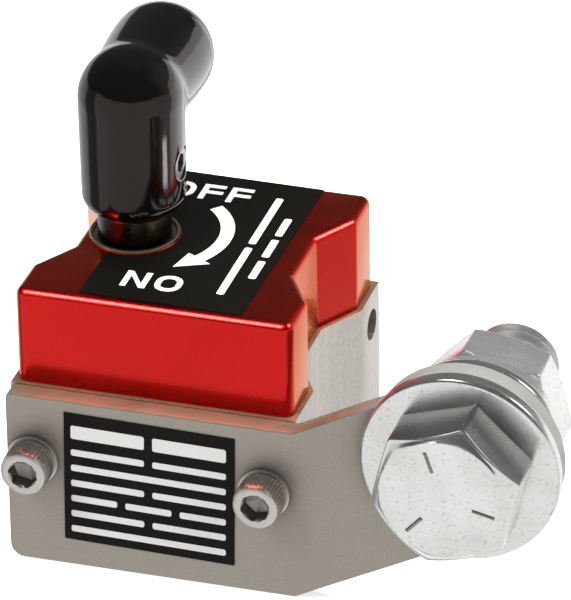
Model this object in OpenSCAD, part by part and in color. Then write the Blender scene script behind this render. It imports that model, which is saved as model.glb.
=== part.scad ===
// Switchable magnetic ground clamp for arc welding.
// A square pole housing holds two stacked disc magnets, the lower one fixed and the upper one turned
// by a push-to-turn handle through a pair of gears. A steel contact plate bolted to the front carries
// the bolt that takes the welding lead.
// Origin: centre of the housing's underside. +X right, +Y to the back, +Z up. Millimetres.

/* [Housing] */
// Side of the square pole housing
housing_w = 41.3; // [40:0.1:44]
// Height of the pole housing
housing_h = 26.2; // [26:0.1:30]
// Half length of the side notch at the outer face
notch_mouth = 11.8; // [10:0.1:12]
// Half length of the flat bottom of the side notch
notch_flat = 5.1; // [4:0.1:6]
// Depth of the side notch
notch_depth = 3.9; // [3:0.1:4]

/* [Cover] */
// Ledge of housing left showing all round the cover
ledge = 0.7; // [0.5:0.1:1]
// Height of the cover
cover_h = 14.4; // [14:0.1:18]
// Thickness of the cover's roof
roof_t = 3.0; // [2.5:0.1:3.2]

/* [Handle] */
// Distance of the handle axis to the left of the centre
handle_offset = 8.8; // [8.7:0.1:9.1]
// Radius of the coated handle
grip_r = 7.5; // [7.2:0.05:7.7]
// Thickness of the vinyl coating
coating_t = 1.6; // [1.2:0.05:1.6]
// Gap under the handle at rest
handle_gap = 4.3; // [4:0.1:5]
// Height of the elbow centre above the cover
elbow_h = 21.5; // [20:0.1:26]
// Length of the handle arm from the axis to its end sphere's centre
arm_l = 13.3; // [10:0.1:20]
// Push stroke that frees the lock
press = 3.0; // [2.5:0.1:3]

/* [Contact plate] */
// Thickness of the contact plate
plate_t = 3.2; // [3:0.1:4]
// Distance of the lead bolt to the right of the centre
bolt_x = 45.4; // [43:0.1:50]
// Slope of the arm that carries the lead bolt
arm_angle = 27.5; // [26:0.5:30]
// Radius of the arm's round end
eye_r = 13.6; // [13.2:0.1:14]
// Distance from the centre line to the bend where the arm starts
kink_x = 21.2; // [21:0.1:23]
// Distance from the centre line to the plate's left edge
plate_left = 20.4; // [20:0.1:20.6]

/* [Fasteners] */
// Across-flats size of the lead bolt and nut
bolt_af = 19.05; // [19:0.01:19.1]
// Diameter of the lead bolt
bolt_d = 12.7; // [12.5:0.1:12.7]
// Height of the lead bolt's head
head_h = 8.2; // [7.5:0.1:8.5]
// Length of the lead bolt under its head
bolt_l = 31.75; // [31:0.05:38]
// Height of the nut
nut_h = 8.8; // [8:0.1:11]
// Outside radius of the washer under the bolt's head
washer_r = 14.1; // [13.5:0.1:14.3]
// Thickness of the washer under the bolt's head
washer_t = 2.6; // [2.2:0.1:2.8]
// Outside radius of the two washers that clamp the lug
lug_washer_r = 12.1; // [11.5:0.1:12.4]
// Thickness of the two washers that clamp the lug
lug_washer_t = 2.1; // [1.8:0.1:2.3]
// Distance of the plate's cap screws from the centre line
cap_x = 16.8; // [16.7:0.1:17.4]
// Height of the plate's cap screws
cap_z = 16.4; // [14:0.1:17]

/* [Hidden] */
$fn = 64;
eps = 0.05;
gap = 0.1;                       // axial play between stacked parts
run = 0.03;                      // radial clearance of a running fit

half_w = housing_w / 2;
cover_half = half_w - ledge;
cover_z = housing_h + cover_h;
front_y = -half_w;
plate_y = front_y - plate_t;
roof_z = cover_z - roof_t;       // ceiling of the gear pocket

// magnets, stacked up from the underside
shield_t = 1.2;
slip_t = 0.4;
bearing_t = 2.1;
carrier_t = 1.9;
magnet_r = 14.5;
bearing_r = 15.35;
bearing_z = housing_h - bearing_t;
magnet_h = (bearing_z - 0.2 - carrier_t - shield_t - slip_t - 4 * gap) / 2;
lower_z = shield_t + gap;
slip_z = lower_z + magnet_h + gap;
upper_z = slip_z + slip_t + gap;
carrier_z = upper_z + magnet_h + gap;

// gear pair: two equal gears whose pitch circles touch
teeth = 12;
pitch_r = handle_offset / 2;
gear_m = 2 * pitch_r / teeth;
tip_r = pitch_r + 0.93 * gear_m;
root_r = pitch_r - 1.22 * gear_m;
pressure = 20;
backlash = 0.5;                  // degrees taken off each flank
hub_r = 3.5;
gear_shaft_r = 2.0;
driven_z = housing_h + 0.8;
driven_h = roof_z - press - 1.2 - driven_z;
washer_z = roof_z - gap - 0.8;
pinion_z = housing_h + press + 2.3;
pinion_h = washer_z - gap - pinion_z;
pocket_half = 13.7;

// push-to-turn shaft
neck_r = 5.2;
stub_r = 3.0;
core_stub_r = 4.0;
spring_bore_r = 2.1;
bushing_r = 6.4;
handle_z = cover_z + handle_gap;
elbow_z = cover_z + elbow_h;
core_r = grip_r - coating_t;
spring_top = handle_z + 0.7;
guide_r = 1.2;
seat_z = pinion_z + 4.0;
lock_z = seat_z - 1.3;
set_z = handle_z + 7.8;
set_r = 2.4;

// lead bolt, along +Y from its head at the front
bolt_z = housing_h / 2 + (bolt_x - kink_x) * tan(arm_angle);
front_washer_y = plate_y - washer_t;
head_y = front_washer_y - head_h;
outer_washer_y = front_y + lug_washer_t;
lock_washer_y = outer_washer_y + lug_washer_t;
lock_washer_t = 3.1;
lock_washer_r = 10.8;
nut_y = lock_washer_y + lock_washer_t;
bolt_end_y = front_washer_y + bolt_l;
head_turn = 16.4;                // degrees from +X towards +Z
nut_turn = 47;

// small screws
cap_r = 3.43;
cap_h = 4.16;
cap_shank_r = 2.08;
cap_washer_t = 0.7;
cap_shift = 0.3;                 // both cap screws stand this far to the right of centred
cap_depth = 8;
cover_screw_x = 12.2;
cover_screw_y = 16.4;
cover_screw_r = 1.5;
side_hole_r = 2.3;
side_hole_l = 5.2;
side_hole_y = 16.9;
side_hole_z = housing_h - 5.0;

// labels
label_t = 0.15;
label_x = -12.0;
label_z = 4.0;
label_w = 24.7;
label_h = 20.3;
label_tilt = 1.1;                // degrees, right end low
switch_label_x = -10.7;
switch_label_y = -18.5;
switch_label_w = 23.5;
switch_label_tilt = 0.9;         // degrees, back end to the right

// ---- shared shapes ----

// Square outline with a flat-bottomed notch in its left and right sides.
// The inset outline runs parallel to the outer one at every edge.
module notched_square(inset) {
    slope_y = notch_mouth - notch_flat;
    slope = sqrt(slope_y * slope_y + notch_depth * notch_depth);
    shift = inset * (slope - slope_y) / notch_depth;
    h = half_w - inset;
    side = [[h, -h], [h, -notch_mouth - shift], [h - notch_depth, -notch_flat - shift],
        [h - notch_depth, notch_flat + shift], [h, notch_mouth + shift], [h, h]];
    polygon(concat(side, [for (p = side) -p]));
}

// Cylinder along +Y from y.
module rod_y(r, y, l) {
    translate([0, y, 0]) rotate([-90, 0, 0]) cylinder(r = r, h = l);
}

// Hexagonal prism along +Y with its corners chamfered at both ends. One corner stands at angle turn from
// +X towards +Z.
module hex_y(af, y, h, turn, bore_r) {
    corner_r = af / 2 / cos(30);
    chamfer = 0.9;
    difference() {
        intersection() {
            translate([0, y, 0]) rotate([-90, 0, 0]) rotate([0, 0, -turn])
                cylinder(r = corner_r, h = h, $fn = 6);
            translate([0, y, 0]) rotate([-90, 0, 0]) rotate_extrude()
                polygon([[0, 0], [af / 2 - 0.4, 0], [corner_r + 0.05, chamfer],
                    [corner_r + 0.05, h - chamfer], [af / 2 - 0.4, h], [0, h]]);
        }
        if (bore_r > 0) rod_y(bore_r, y - 1, h + 2);
    }
}

// Flat ring along +Y.
module ring_y(r, bore_r, y, t) {
    difference() {
        rod_y(r, y, t);
        rod_y(bore_r, y - 1, t + 2);
    }
}

// Split ring along +Y, its gap at the lower left.
module split_ring_y(r, bore_r, y, t) {
    difference() {
        ring_y(r, bore_r, y, t);
        rotate([0, 130, 0]) translate([(r + bore_r) / 2, y + t / 2, 0]) rotate([25, 0, 0])
            cube([r, 3 * t, 0.5], center = true);
    }
}

// Socket cap screw pointing along +Z from the underside of its head.
module cap_screw(head_r, head_l, shank_r, shank_l, socket_af) {
    difference() {
        union() {
            translate([0, 0, -head_l]) cylinder(r = head_r, h = head_l);
            translate([0, 0, -eps]) cylinder(r = shank_r, h = shank_l + eps);
        }
        translate([0, 0, -head_l - 1])
            cylinder(r = socket_af / 2 / cos(30), h = 1 + head_l * 0.55, $fn = 6);
    }
}

// Angle in degrees by which an involute has unwound at radius r.
function involute(base, r) = let (a = acos(min(1, base / r))) tan(a) * 180 / PI - a;

// Spur gear outline with a tooth centred on angle turn.
module gear_outline(turn) {
    base = pitch_r * cos(pressure);
    half_tooth = 90 / teeth - backlash;
    radii = [root_r, base, base + 0.25 * (tip_r - base), base + 0.6 * (tip_r - base), tip_r];
    flank = [for (r = radii) [r, half_tooth + involute(base, pitch_r) - involute(base, max(r, base))]];
    tooth = concat([for (f = flank) [f[0], -f[1]]], [for (i = [4:-1:0]) flank[i]]);
    polygon([for (k = [0:teeth - 1]) for (t = tooth)
        let (a = turn + k * 360 / teeth + t[1]) [t[0] * cos(a), t[0] * sin(a)]]);
}

// Handle form: an upright column, a round elbow and a short arm along +Y with a round end.
module handle_form(r, edge, bottom_z) {
    translate([-handle_offset, 0, 0]) {
        translate([0, 0, bottom_z]) rotate_extrude() {
            translate([0, edge]) square([r, elbow_z - bottom_z - edge]);
            square([r - edge, edge + eps]);
            intersection() {
                translate([r - edge, edge]) circle(r = edge);
                square([r + 1, edge + eps]);
            }
        }
        translate([0, 0, elbow_z]) sphere(r = r);
        translate([0, 0, elbow_z]) rod_y(r, 0, arm_l);
        translate([0, arm_l, elbow_z]) sphere(r = r);
    }
}

// ---- housing and magnets ----

module pole_housing() {
    color("silver") difference() {
        linear_extrude(housing_h) notched_square(0);
        translate([0, 0, -1]) cylinder(r = magnet_r + 0.1, h = housing_h + 2);
        translate([0, 0, bearing_z]) cylinder(r = bearing_r + run, h = bearing_t + 1);
        for (sx = [-1, 1]) {
            translate([sx * cap_x + cap_shift, 0, cap_z])
                rod_y(cap_shank_r + run, front_y - 1, cap_depth + 1.5);
            translate([sx * (half_w - side_hole_l), side_hole_y, side_hole_z]) rotate([0, sx * 90, 0])
                cylinder(r = side_hole_r, h = side_hole_l + 1);
            for (sy = [-1, 1]) translate([sx * cover_screw_x, sy * cover_screw_y, 0]) {
                translate([0, 0, -1]) cylinder(r = cover_screw_r + 0.1, h = housing_h + 2);
                translate([0, 0, -1]) cylinder(r = 2.9, h = 4.2);
            }
        }
    }
}

module bottom_shield() {
    color("gainsboro") cylinder(r = magnet_r, h = shield_t);
}

module lower_magnet() {
    color("gray") translate([0, 0, lower_z]) cylinder(r = magnet_r, h = magnet_h);
}

module magnet_slip_disc() {
    color("white") translate([0, 0, slip_z]) cylinder(r = magnet_r, h = slip_t);
}

module upper_magnet() {
    color("gray") translate([0, 0, upper_z]) cylinder(r = magnet_r - 0.1, h = magnet_h);
}

// Steel disc bonded to the upper magnet, with the hub and stub that carry the driven gear.
module magnet_carrier() {
    color("lightsteelblue") {
        translate([0, 0, carrier_z]) cylinder(r = magnet_r - 0.1, h = carrier_t);
        translate([0, 0, carrier_z + carrier_t - eps])
            cylinder(r = hub_r, h = driven_z - gap - carrier_z - carrier_t + eps);
        translate([0, 0, driven_z - gap - eps])
            cylinder(r = gear_shaft_r, h = driven_h + 1.2 + 2 * gap + eps);
    }
}

module bearing_plate() {
    color("lightgray") difference() {
        translate([0, 0, bearing_z]) cylinder(r = bearing_r, h = bearing_t);
        translate([0, 0, bearing_z - 1]) cylinder(r = hub_r + 1 + run, h = bearing_t + 2);
        translate([-handle_offset, 0, bearing_z - 1]) cylinder(r = guide_r + 0.02, h = bearing_t + 2);
    }
}

module hub_bushing() {
    color("peru") difference() {
        translate([0, 0, bearing_z]) cylinder(r = hub_r + 1, h = bearing_t);
        translate([0, 0, bearing_z - 1]) cylinder(r = hub_r + run, h = bearing_t + 2);
    }
}

module driven_gear() {
    color("darkkhaki") translate([0, 0, driven_z]) difference() {
        linear_extrude(driven_h) gear_outline(180 / teeth);
        translate([0, 0, -1]) cylinder(r = gear_shaft_r + 0.02, h = driven_h + 2);
    }
}

module gear_clip() {
    color("dimgray") translate([0, 0, driven_z + driven_h + gap]) difference() {
        cylinder(r = gear_shaft_r + 1.1, h = 0.6);
        translate([0, 0, -1]) cylinder(r = gear_shaft_r + 0.02, h = 3);
        translate([0, -0.9, -1]) cube([5, 1.8, 3]);
    }
}

// ---- cover, bushing and labels ----

module gear_cover() {
    color("firebrick") difference() {
        translate([0, 0, housing_h]) linear_extrude(cover_h) notched_square(ledge);
        translate([-pocket_half, -pocket_half, housing_h - 1])
            cube([2 * pocket_half, 2 * pocket_half, roof_z - housing_h + 1]);
        translate([-handle_offset, 0, housing_h - 1]) cylinder(r = 5.6, h = roof_z - housing_h + 1);
        translate([-handle_offset, 0, roof_z - 1]) cylinder(r = bushing_r + 0.02, h = roof_t + 2);
        for (sx = [-1, 1]) for (sy = [-1, 1])
            translate([sx * cover_screw_x, sy * cover_screw_y, housing_h - 1])
                cylinder(r = cover_screw_r + run, h = 9);
    }
}

module shaft_bushing() {
    color("tan") translate([-handle_offset, 0, roof_z]) difference() {
        cylinder(r = bushing_r, h = roof_t + 0.6);
        translate([0, 0, -1]) cylinder(r = neck_r + run, h = roof_t + 3);
    }
}

module cover_screws() {
    color("black") for (sx = [-1, 1]) for (sy = [-1, 1])
        translate([sx * cover_screw_x, sy * cover_screw_y, 3.2])
            cap_screw(2.75, 3.0, cover_screw_r, housing_h + 4, 2.5);
}

module rating_label() {
    color("black") translate([label_x + label_w / 2, plate_y - label_t, label_z + label_h / 2])
        rotate([0, label_tilt, 0]) translate([-label_w / 2, 0, -label_h / 2])
            cube([label_w, label_t, label_h]);
}

module switch_label() {
    color("black") difference() {
        translate([switch_label_x + switch_label_w / 2, 0, cover_z]) rotate([0, 0, -switch_label_tilt])
            translate([-switch_label_w / 2, switch_label_y, 0])
                cube([switch_label_w, cover_half - 0.7 - switch_label_y, label_t]);
        translate([-handle_offset, 0, cover_z - 1]) cylinder(r = bushing_r + 0.3, h = 3);
    }
}

// ---- push-to-turn handle ----

module spring_guide() {
    color("slategray") translate([-handle_offset, 0, 0]) difference() {
        union() {
            translate([0, 0, bearing_z]) cylinder(r = guide_r, h = spring_top - press - 1.2 - bearing_z);
            translate([0, 0, seat_z - 0.4]) cylinder(r = 1.95, h = 0.4);
        }
        translate([0, 0, lock_z]) rod_y(0.5, -3, 6);
    }
}

// Cross pin that stops the shaft from turning until the handle is pushed down.
module lock_pin() {
    color("dimgray") translate([-handle_offset, 0, lock_z]) rod_y(0.49, -1.8, 3.6);
}

// Round wire wound on a helix; both ends lie flat.
module return_spring() {
    wire = 0.25;
    coil_r = 1.62;
    turns = 8;
    steps = 24;
    sides = 8;
    low = seat_z + wire + 0.02;
    rise = spring_top - 1 - seat_z - 2 * wire - 0.04;
    rings = turns * steps;
    points = [for (i = [0:rings]) for (k = [0:sides - 1])
        let (a = i * 360 / steps, b = k * 360 / sides, r = coil_r + wire * cos(b))
        [r * cos(a), r * sin(a), low + rise * i / rings + wire * sin(b)]];
    skin = [for (i = [0:rings - 1]) for (k = [0:sides - 1])
        let (j = (k + 1) % sides)
        [i * sides + k, i * sides + j, (i + 1) * sides + j, (i + 1) * sides + k]];
    ends = [[for (k = [sides - 1:-1:0]) k], [for (k = [0:sides - 1]) rings * sides + k]];
    color("lightsteelblue") translate([-handle_offset, 0, 0])
        polyhedron(points, concat(skin, ends));
}

// Button between the spring and the turning shaft.
module spring_cap() {
    color("slategray") translate([-handle_offset, 0, spring_top - 1])
        cylinder(r = spring_bore_r - run, h = 1 - gap);
}

module drive_shaft() {
    color("silver") translate([-handle_offset, 0, 0]) difference() {
        union() {
            translate([0, 0, pinion_z - gap]) cylinder(r = stub_r, h = roof_z - pinion_z + gap);
            translate([0, 0, roof_z - eps]) cylinder(r = neck_r, h = handle_z - roof_z + eps);
            translate([0, 0, handle_z - eps]) cylinder(r = core_stub_r, h = 13);
        }
        translate([0, 0, pinion_z - 1]) cylinder(r = spring_bore_r, h = spring_top - pinion_z + 1);
    }
}

module drive_pinion() {
    color("darkkhaki") translate([-handle_offset, 0, pinion_z]) difference() {
        linear_extrude(pinion_h) gear_outline(0);
        translate([0, 0, -1]) cylinder(r = stub_r + 0.02, h = pinion_h + 2);
    }
}

module thrust_washer() {
    color("gainsboro") translate([-handle_offset, 0, washer_z]) difference() {
        cylinder(r = 5.45, h = 0.8);
        translate([0, 0, -1]) cylinder(r = stub_r + 0.02, h = 3);
    }
}

module handle_core() {
    color("dimgray") difference() {
        handle_form(core_r, 0.4, handle_z + gap);
        translate([-handle_offset, 0, handle_z - 1]) cylinder(r = core_stub_r + 0.02, h = 14.2);
        translate([-handle_offset, 0, set_z]) rotate([0, 90, 0]) cylinder(r = set_r + 0.02, h = 12);
    }
}

module handle_grip() {
    color("black") difference() {
        handle_form(grip_r, 1.5, handle_z + gap);
        handle_form(core_r + 0.02, 0.01, handle_z + gap - 1);
        translate([-handle_offset, 0, set_z]) rotate([0, 90, 0]) cylinder(r = set_r + 0.5, h = 12);
    }
}

module handle_set_screw() {
    color("gray") translate([-handle_offset + core_stub_r + 0.05, 0, set_z]) rotate([0, 90, 0])
        difference() {
            cylinder(r = set_r, h = 2.9);
            translate([0, 0, 1.2]) cylinder(r = 1.27 / cos(30), h = 3, $fn = 6);
        }
}

// ---- contact plate and its fasteners ----

// Points of a quarter circle of radius r about c, from angle a.
function quarter(c, r, a) = [for (i = [0:6]) c + r * [cos(a + 15 * i), sin(a + 15 * i)]];

module plate_outline() {
    low_r = 2;
    top_r = 0.8;
    arm_half = housing_h / 2 * cos(arm_angle);
    normal = arm_half * [-sin(arm_angle), cos(arm_angle)];
    eye = [bolt_x, bolt_z];
    polygon(concat(
        quarter([-plate_left + top_r, housing_h - top_r], top_r, 90),
        quarter([-plate_left + low_r, low_r], low_r, 180),
        [[kink_x, 0], eye - normal, eye + normal, [kink_x, housing_h]]));
    translate(eye) circle(r = eye_r, $fn = 96);
}

module contact_plate() {
    color("darkgray") difference() {
        translate([0, front_y, 0]) rotate([90, 0, 0]) linear_extrude(plate_t) plate_outline();
        for (sx = [-1, 1])
            translate([sx * cap_x + cap_shift, 0, cap_z])
                rod_y(cap_shank_r + 0.15, plate_y - 1, plate_t + 2);
        translate([bolt_x, 0, bolt_z]) rod_y(bolt_d / 2 + 0.15, plate_y - 1, plate_t + 2);
    }
}

module plate_cap_screws() {
    color("silver") for (sx = [-1, 1])
        translate([sx * cap_x + cap_shift, plate_y - cap_washer_t, cap_z]) rotate([-90, 0, 0])
            cap_screw(cap_r, cap_h, cap_shank_r, cap_depth + plate_t + cap_washer_t, 3.6);
}

module plate_lock_washers() {
    color("lightgray") for (sx = [-1, 1]) translate([sx * cap_x + cap_shift, 0, cap_z])
        split_ring_y(3.7, cap_shank_r + 0.1, plate_y - cap_washer_t, cap_washer_t);
}

// ---- lead bolt, washers and nut ----

module ground_bolt() {
    tip = 0.8;
    color("whitesmoke") translate([bolt_x, 0, bolt_z]) {
        hex_y(bolt_af, head_y, head_h, head_turn, 0);
        rod_y(bolt_d / 2, head_y + head_h - eps, bolt_end_y - tip - head_y - head_h + eps);
        translate([0, bolt_end_y - tip, 0]) rotate([-90, 0, 0])
            cylinder(r1 = bolt_d / 2, r2 = bolt_d / 2 - tip, h = tip);
    }
}

module front_washer() {
    color("whitesmoke") translate([bolt_x, 0, bolt_z])
        ring_y(washer_r, bolt_d / 2 + 0.1, front_washer_y, washer_t);
}

module inner_lug_washer() {
    color("whitesmoke") translate([bolt_x, 0, bolt_z])
        ring_y(lug_washer_r, bolt_d / 2 + 0.1, front_y, lug_washer_t);
}

module outer_lug_washer() {
    color("whitesmoke") translate([bolt_x, 0, bolt_z])
        ring_y(lug_washer_r, bolt_d / 2 + 0.1, outer_washer_y, lug_washer_t);
}

module stud_lock_washer() {
    color("whitesmoke") translate([bolt_x, 0, bolt_z])
        split_ring_y(lock_washer_r, bolt_d / 2 + 0.1, lock_washer_y, lock_washer_t);
}

module stud_nut() {
    color("whitesmoke") translate([bolt_x, 0, bolt_z])
        hex_y(bolt_af, nut_y, nut_h, nut_turn, bolt_d / 2 + run);
}

pole_housing();
contact_plate();
plate_cap_screws();
plate_lock_washers();
gear_cover();
cover_screws();
rating_label();
switch_label();
shaft_bushing();
bottom_shield();
lower_magnet();
magnet_slip_disc();
bearing_plate();
hub_bushing();
spring_guide();
lock_pin();
return_spring();
spring_cap();
drive_shaft();
drive_pinion();
thrust_washer();
handle_core();
handle_grip();
handle_set_screw();
upper_magnet();
magnet_carrier();
driven_gear();
gear_clip();
ground_bolt();
front_washer();
inner_lug_washer();
outer_lug_washer();
stud_lock_washer();
stud_nut();
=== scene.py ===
"""Looks of the switchable magnetic ground clamp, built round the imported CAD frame.

Lengths inside the builders are millimetres in the part's own frame; MM turns them into metres.
"""

import math

import bmesh
import bpy
import numpy as np
from mathutils import Matrix, Vector

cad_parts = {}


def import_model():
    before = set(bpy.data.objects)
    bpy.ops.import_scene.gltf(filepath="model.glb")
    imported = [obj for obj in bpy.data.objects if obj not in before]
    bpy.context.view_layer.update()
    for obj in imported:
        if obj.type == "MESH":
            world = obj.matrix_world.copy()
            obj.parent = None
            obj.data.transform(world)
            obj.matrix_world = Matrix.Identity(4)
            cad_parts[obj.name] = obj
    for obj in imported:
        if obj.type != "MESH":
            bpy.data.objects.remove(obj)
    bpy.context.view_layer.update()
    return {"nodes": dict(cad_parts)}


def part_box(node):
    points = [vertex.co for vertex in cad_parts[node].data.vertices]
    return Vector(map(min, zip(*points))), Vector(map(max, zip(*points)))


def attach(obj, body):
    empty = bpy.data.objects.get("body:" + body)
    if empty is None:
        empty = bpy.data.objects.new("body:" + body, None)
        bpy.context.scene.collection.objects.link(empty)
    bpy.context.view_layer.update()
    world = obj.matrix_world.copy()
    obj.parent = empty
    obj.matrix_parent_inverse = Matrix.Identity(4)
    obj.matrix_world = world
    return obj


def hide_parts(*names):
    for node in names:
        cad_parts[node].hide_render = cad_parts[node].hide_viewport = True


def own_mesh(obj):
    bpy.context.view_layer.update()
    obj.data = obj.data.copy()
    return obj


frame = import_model()
NODES = frame["nodes"]
MM = 0.001


# ---- the CAD sizes that the looks are built on, in millimetres ----

def node_box(name):
    """Lowest and highest corner of a CAD node in millimetres."""
    low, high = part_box(name)
    return low / MM, high / MM


COVER_LOW, COVER_HIGH = node_box("gear_cover")
PLATE_LOW, PLATE_HIGH = node_box("contact_plate")
GRIP_LOW, GRIP_HIGH = node_box("handle_grip")
WASHER_LOW, WASHER_HIGH = node_box("front_washer")
BOLT_LOW, BOLT_HIGH = node_box("ground_bolt")
NUT_LOW, NUT_HIGH = node_box("stud_nut")
SCREWS_LOW, SCREWS_HIGH = node_box("plate_cap_screws")
BUSHING_LOW, BUSHING_HIGH = node_box("shaft_bushing")
RATING_LOW, RATING_HIGH = node_box("rating_label")
SET_LOW, SET_HIGH = node_box("handle_set_screw")

COVER_TOP = COVER_HIGH.z
SWITCH_TOP = node_box("switch_label")[1].z
SCREW_R = (SCREWS_HIGH.z - SCREWS_LOW.z) / 2
SCREW_XS = (SCREWS_LOW.x + SCREW_R, SCREWS_HIGH.x - SCREW_R)
SCREW_Z = (SCREWS_HIGH.z + SCREWS_LOW.z) / 2
SCREW_BACK = node_box("plate_lock_washers")[0].y
SET_Z = (SET_LOW.z + SET_HIGH.z) / 2
BOLT_X = (WASHER_LOW.x + WASHER_HIGH.x) / 2
BOLT_Z = (WASHER_LOW.z + WASHER_HIGH.z) / 2
HANDLE_X = (GRIP_LOW.x + GRIP_HIGH.x) / 2
GRIP_R = (GRIP_HIGH.x - GRIP_LOW.x) / 2
ELBOW_Z = GRIP_HIGH.z - GRIP_R
ARM_END_Y = GRIP_HIGH.y - GRIP_R


# ---- node materials ----

class Shader:
    """A small wrapper that adds nodes and links to one material's node tree."""

    def __init__(self, name):
        self.material = bpy.data.materials.new(name)
        self.material.use_nodes = True
        self.tree = self.material.node_tree
        self.surface = self.tree.nodes["Principled BSDF"]
        self.coords = self.tree.nodes.new("ShaderNodeTexCoord")

    def node(self, kind, **values):
        made = self.tree.nodes.new(kind)
        for key, value in values.items():
            if key in made.inputs:
                made.inputs[key].default_value = value
            else:
                setattr(made, key, value)
        return made

    def link(self, out, into):
        self.tree.links.new(out, into)
        return self

    def stretched(self, scale):
        """Object coordinates multiplied by scale."""
        mapping = self.node("ShaderNodeMapping")
        mapping.inputs["Scale"].default_value = scale
        self.link(self.coords.outputs["Object"], mapping.inputs["Vector"])
        return mapping.outputs["Vector"]

    def noise(self, scale, detail=4.0, stretch=(1, 1, 1), roughness=0.55):
        texture = self.node("ShaderNodeTexNoise", Scale=scale, Detail=detail, Roughness=roughness)
        self.link(self.stretched(stretch), texture.inputs["Vector"])
        return texture.outputs["Fac"]

    def ramp(self, value, stops):
        """Grey ramp over (position, value) stops."""
        made = self.node("ShaderNodeValToRGB")
        points = made.color_ramp.elements
        while len(points) < len(stops):
            points.new(0.5)
        for point, (place, tone) in zip(points, stops):
            point.position = place
            point.color = (tone, tone, tone, 1)
        self.link(value, made.inputs["Fac"])
        return made.outputs["Color"]

    def mix(self, factor, a, b):
        """Colour mix; factor, a and b are sockets or values."""
        made = self.node("ShaderNodeMix", data_type="RGBA")
        for socket, value in ((made.inputs[0], factor), (made.inputs[6], a), (made.inputs[7], b)):
            if isinstance(value, bpy.types.NodeSocket):
                self.link(value, socket)
            elif isinstance(value, (int, float)):
                socket.default_value = value
            else:
                socket.default_value = (*value, 1)
        return made.outputs[2]

    def bump(self, height, strength, distance=0.00005):
        made = self.node("ShaderNodeBump", Strength=strength, Distance=distance)
        self.link(height, made.inputs["Height"])
        last = self.surface.inputs["Normal"]
        if last.is_linked:
            self.link(last.links[0].from_socket, made.inputs["Normal"])
        self.link(made.outputs["Normal"], last)
        return self

    def sharp_edge_mask(self, width, start=0.994, full=0.70):
        """0 on flat faces and 1 on sharp edges; start and full are cosines of the edge's turn."""
        bevel = self.node("ShaderNodeBevel", samples=6)
        bevel.inputs["Radius"].default_value = width
        geometry = self.node("ShaderNodeNewGeometry")
        dot = self.node("ShaderNodeVectorMath", operation="DOT_PRODUCT")
        self.link(bevel.outputs["Normal"], dot.inputs[0])
        self.link(geometry.outputs["True Normal"], dot.inputs[1])
        spread = self.node("ShaderNodeMapRange")
        spread.inputs["From Min"].default_value = start
        spread.inputs["From Max"].default_value = full
        self.link(dot.outputs["Value"], spread.inputs["Value"])
        return spread.outputs["Result"]

    def painted_shade(self, reach, stops):
        """Painted shade: high in corners that are sheltered within reach, for darkening the colour there."""
        shelter = self.node("ShaderNodeAmbientOcclusion", samples=8, Distance=reach)
        return self.ramp(shelter.outputs["AO"], stops)

    def set(self, **values):
        for key, value in values.items():
            socket = self.surface.inputs[key.replace("_", " ")]
            if isinstance(value, bpy.types.NodeSocket):
                self.link(value, socket)
            elif isinstance(value, tuple):
                socket.default_value = (*value, 1)
            else:
                socket.default_value = value
        return self


def red_anodised():
    s = Shader("red_anodised")
    cloud = s.noise(90, 3)
    base = s.mix(cloud, (0.62, 0.005, 0.004), (0.75, 0.010, 0.007))
    # Paler edges: partly worn anodising, partly a painted highlight along the fillets.
    worn_and_highlit = s.mix(s.sharp_edge_mask(0.0004), base, (0.80, 0.12, 0.07))
    s.set(Base_Color=worn_and_highlit, Metallic=1.0, Specular_Tint=(1.0, 0.95, 0.50))
    s.set(Coat_Weight=1.0, Coat_Roughness=0.12, Coat_IOR=1.25)
    s.set(Roughness=s.ramp(s.noise(240, 5), [(0.3, 0.24), (0.7, 0.31)]))
    s.bump(s.noise(2600, 3), 0.12)
    return s.material


def milled_steel():
    """Ground steel with fine upright tool marks and faint stains."""
    s = Shader("milled_steel")
    marks = s.noise(520, 6, (1, 1, 0.012), 0.7)
    broad = s.noise(120, 3, (1, 1, 0.05))
    stain = s.noise(70, 4)
    base = s.mix(marks, (0.48, 0.445, 0.405), (0.78, 0.745, 0.695))
    base = s.mix(s.ramp(stain, [(0.5, 0.0), (0.75, 0.35)]), base, (0.50, 0.44, 0.37))
    pits = s.ramp(s.noise(4200, 4, (1, 1, 0.3)), [(0.50, 0.0), (0.68, 0.40)])
    base = s.mix(pits, base, (0.30, 0.28, 0.25))
    normal = s.node("ShaderNodeSeparateXYZ")
    s.link(s.node("ShaderNodeNewGeometry").outputs["Normal"], normal.inputs[0])
    ledge = s.ramp(normal.outputs["Z"], [(0.85, 0.0), (0.97, 1.0)])
    base = s.mix(ledge, base, (0.26, 0.17, 0.10))
    # Painted shade: the colour turns near black in sheltered corners such as the notches.
    base = s.mix(s.painted_shade(0.003, [(0.30, 0.8), (0.62, 0.0)]), base, (0.05, 0.045, 0.04))
    s.set(Base_Color=base, Metallic=s.ramp(ledge, [(0.0, 0.9), (1.0, 0.45)]))
    s.set(Roughness=s.ramp(broad, [(0.3, 0.30), (0.7, 0.46)]))
    s.bump(marks, 0.35).bump(broad, 0.15)
    return s.material


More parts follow.
